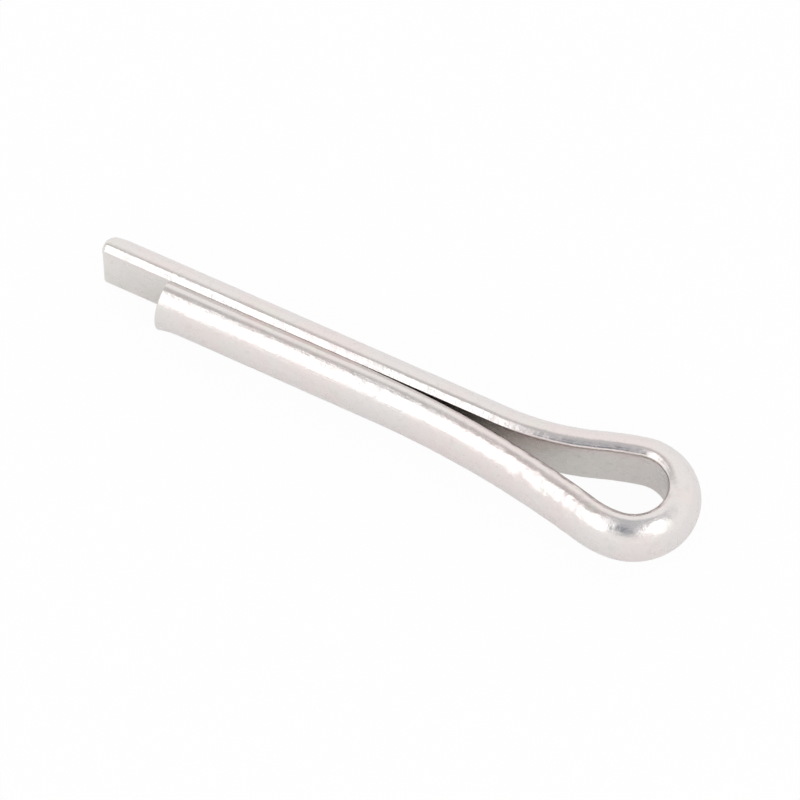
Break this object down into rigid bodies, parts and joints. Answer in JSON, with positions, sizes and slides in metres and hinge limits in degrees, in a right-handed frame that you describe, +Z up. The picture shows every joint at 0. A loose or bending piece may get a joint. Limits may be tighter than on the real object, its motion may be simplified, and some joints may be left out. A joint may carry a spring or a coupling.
{
  "type": "split cotter pin",
  "caption": "Split cotter pin of half-round wire, with a round eye and unequal flat-to-flat legs. It locks a shaft, clevis pin or nut through a cross hole.",
  "frame": {"origin": "on the shank's axis, at the eye end of its round length", "axes": "+X along the shank towards the eye, +Y across the split towards the long leg, +Z up from the surface the pin lies on"},
  "size_m": [0.0276, 0.0056, 0.0027],
  "materials": {
    "zinc_plated_steel": "bright zinc plating over drawn wire, faint warm and green tints"
  },
  "bodies": {
    "root": {"cotter_pin": "zinc_plated_steel"}
  },
  "joints": []
}
